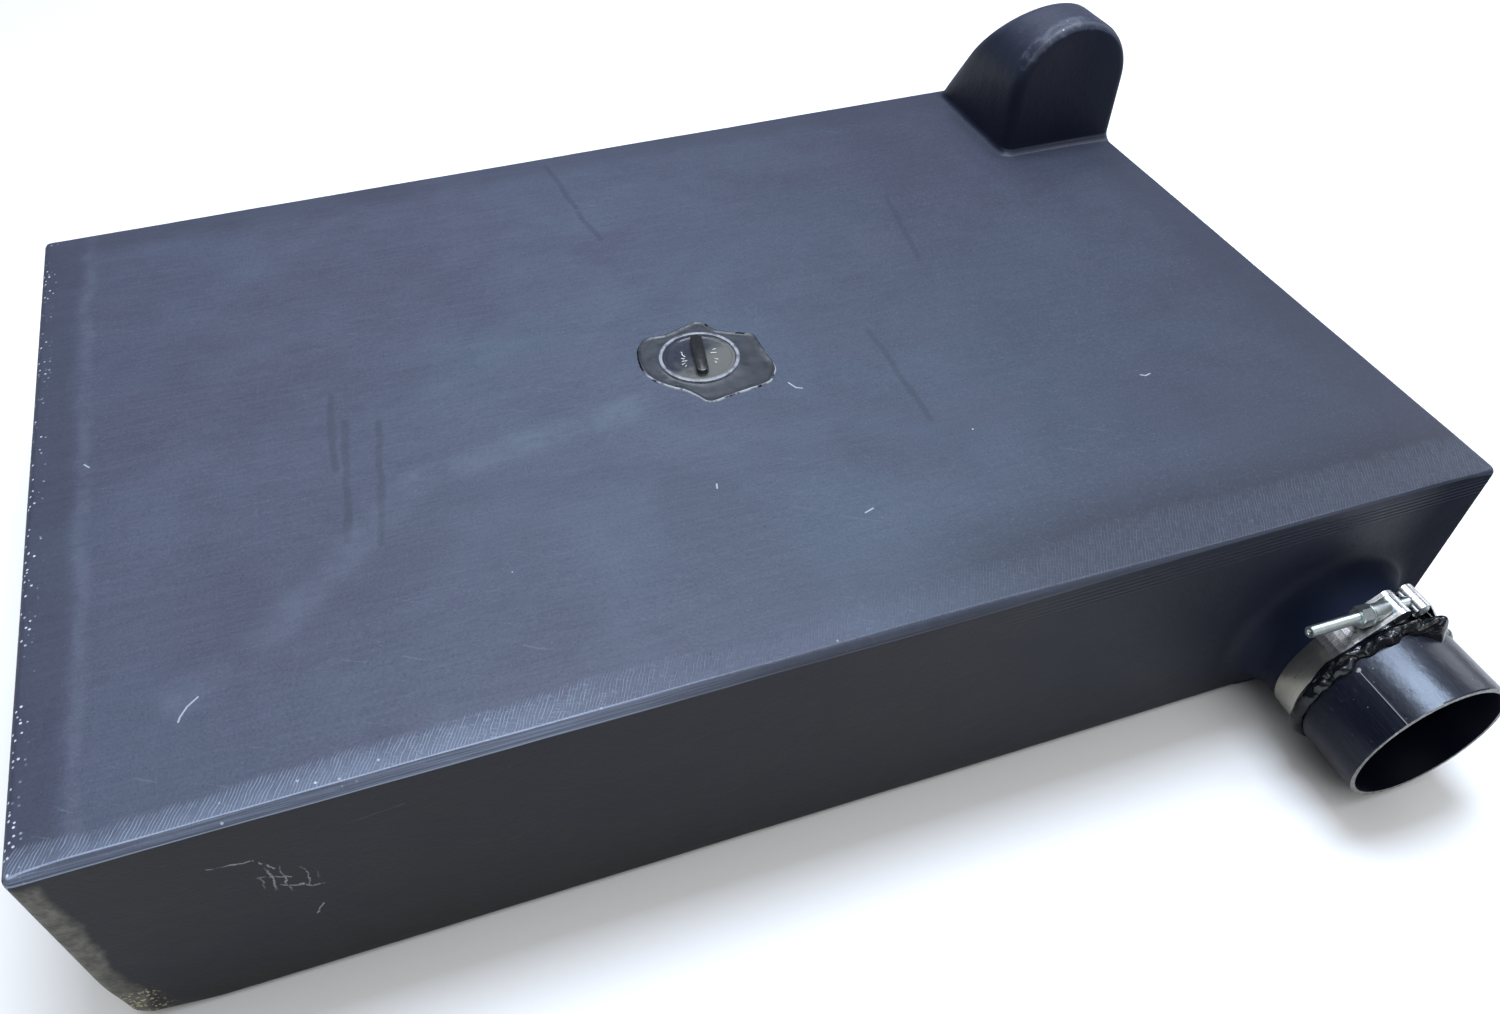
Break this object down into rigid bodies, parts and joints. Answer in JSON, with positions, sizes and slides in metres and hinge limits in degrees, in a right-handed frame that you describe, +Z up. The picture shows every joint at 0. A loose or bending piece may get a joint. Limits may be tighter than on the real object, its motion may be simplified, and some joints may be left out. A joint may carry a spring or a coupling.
{
  "type": "hydraulic reservoir",
  "caption": "Flat moulded plastic fluid tank with a humped breather corner, flush top plug, rear drain plug and a round outlet pipe held by sealant and a T-bolt band clamp.",
  "frame": {"origin": "centre of the tank's bottom face, on the surface it stands on", "axes": "+X to the right along the long side, towards the outlet's end; +Y to the back, away from the outlet; +Z up"},
  "size_m": [0.92, 0.741, 0.287],
  "materials": {
    "tank_plastic": "satin, scuffed",
    "weld_plastic": "gloss, uneven",
    "plug_plastic": "gloss",
    "seal_rubber": "matte",
    "pipe_plastic": "gloss, scuffed",
    "sealant": "glossy, lumpy",
    "band_steel": "brushed",
    "zinc_steel": "zinc plated",
    "fitting_plastic": "satin",
    "filter_foam": "open foam",
    "copper": "satin",
    "strainer_metal": "satin"
  },
  "bodies": {
    "root": {"tank_shell": "tank_plastic", "plug_collar": "tank_plastic", "weld_patch": "weld_plastic", "outlet_pipe": "pipe_plastic", "sealant_bead": "sealant", "clamp_band": "band_steel", "clamp_bridge": "band_steel", "nut_side_loop": "band_steel", "bolt_side_loop": "band_steel", "t_bolt": "zinc_steel", "trunnion": "zinc_steel", "clamp_spacer": "zinc_steel", "breather_insert": "fitting_plastic", "breather_filter": "filter_foam", "drain_insert": "fitting_plastic", "strainer_collar": "strainer_metal", "strainer_screen": "strainer_metal", "strainer_end_cap": "strainer_metal"},
    "plug_seal": {"plug_o_ring": "seal_rubber"},
    "plug": {"top_plug": "plug_plastic"},
    "nut_washer": {"clamp_washer": "zinc_steel"},
    "nut": {"clamp_nut": "zinc_steel"},
    "vent_seal": {"breather_gasket": "seal_rubber"},
    "vent_cap": {"breather_cap": "fitting_plastic"},
    "drain_seal": {"drain_washer": "copper"},
    "drain": {"drain_plug": "zinc_steel"}
  },
  "joints": [
    {"name": "plug_lift", "type": "slide", "parent": "root", "child": "plug_seal", "axis": [0, 0, 1], "range_m": [0, 0.01385]},
    {"name": "plug_turn", "type": "hinge", "parent": "plug_seal", "child": "plug", "pos_m": [0, -0.023, 0.18], "axis": [0, 0, 1], "range_deg": [0, 2163]},
    {"name": "nut_travel", "type": "slide", "parent": "root", "child": "nut_washer", "axis": [-1, 0, 0], "range_m": [0, 0.035]},
    {"name": "nut_turn", "type": "hinge", "parent": "nut_washer", "child": "nut", "pos_m": [0.34, -0.35075, 0.1232], "axis": [-1, 0, 0], "range_deg": [0, 10083]},
    {"name": "vent_lift", "type": "slide", "parent": "root", "child": "vent_seal", "axis": [0, 0.7986, 0.6018], "range_m": [0, 0.01]},
    {"name": "vent_turn", "type": "hinge", "parent": "vent_seal", "child": "vent_cap", "pos_m": [0.406, 0.27389, 0.212], "axis": [0, 0.7986, 0.6018], "range_deg": [0, 1803]},
    {"name": "drain_travel", "type": "slide", "parent": "root", "child": "drain_seal", "axis": [0, 1, 0], "range_m": [0, 0.0127]},
    {"name": "drain_turn", "type": "hinge", "parent": "drain_seal", "child": "drain", "pos_m": [-0.38, 0.307, 0.034], "axis": [0, 1, 0], "range_deg": [0, 2523]}
  ],
  "couplings": [
    {"joint": "plug_turn", "follows": "plug_lift", "rad_per_m": 2721.2},
    {"joint": "nut_turn", "follows": "nut_travel", "rad_per_m": 5026.5},
    {"joint": "vent_turn", "follows": "vent_lift", "rad_per_m": 3141.6},
    {"joint": "drain_turn", "follows": "drain_travel", "rad_per_m": 3463.7}
  ]
}
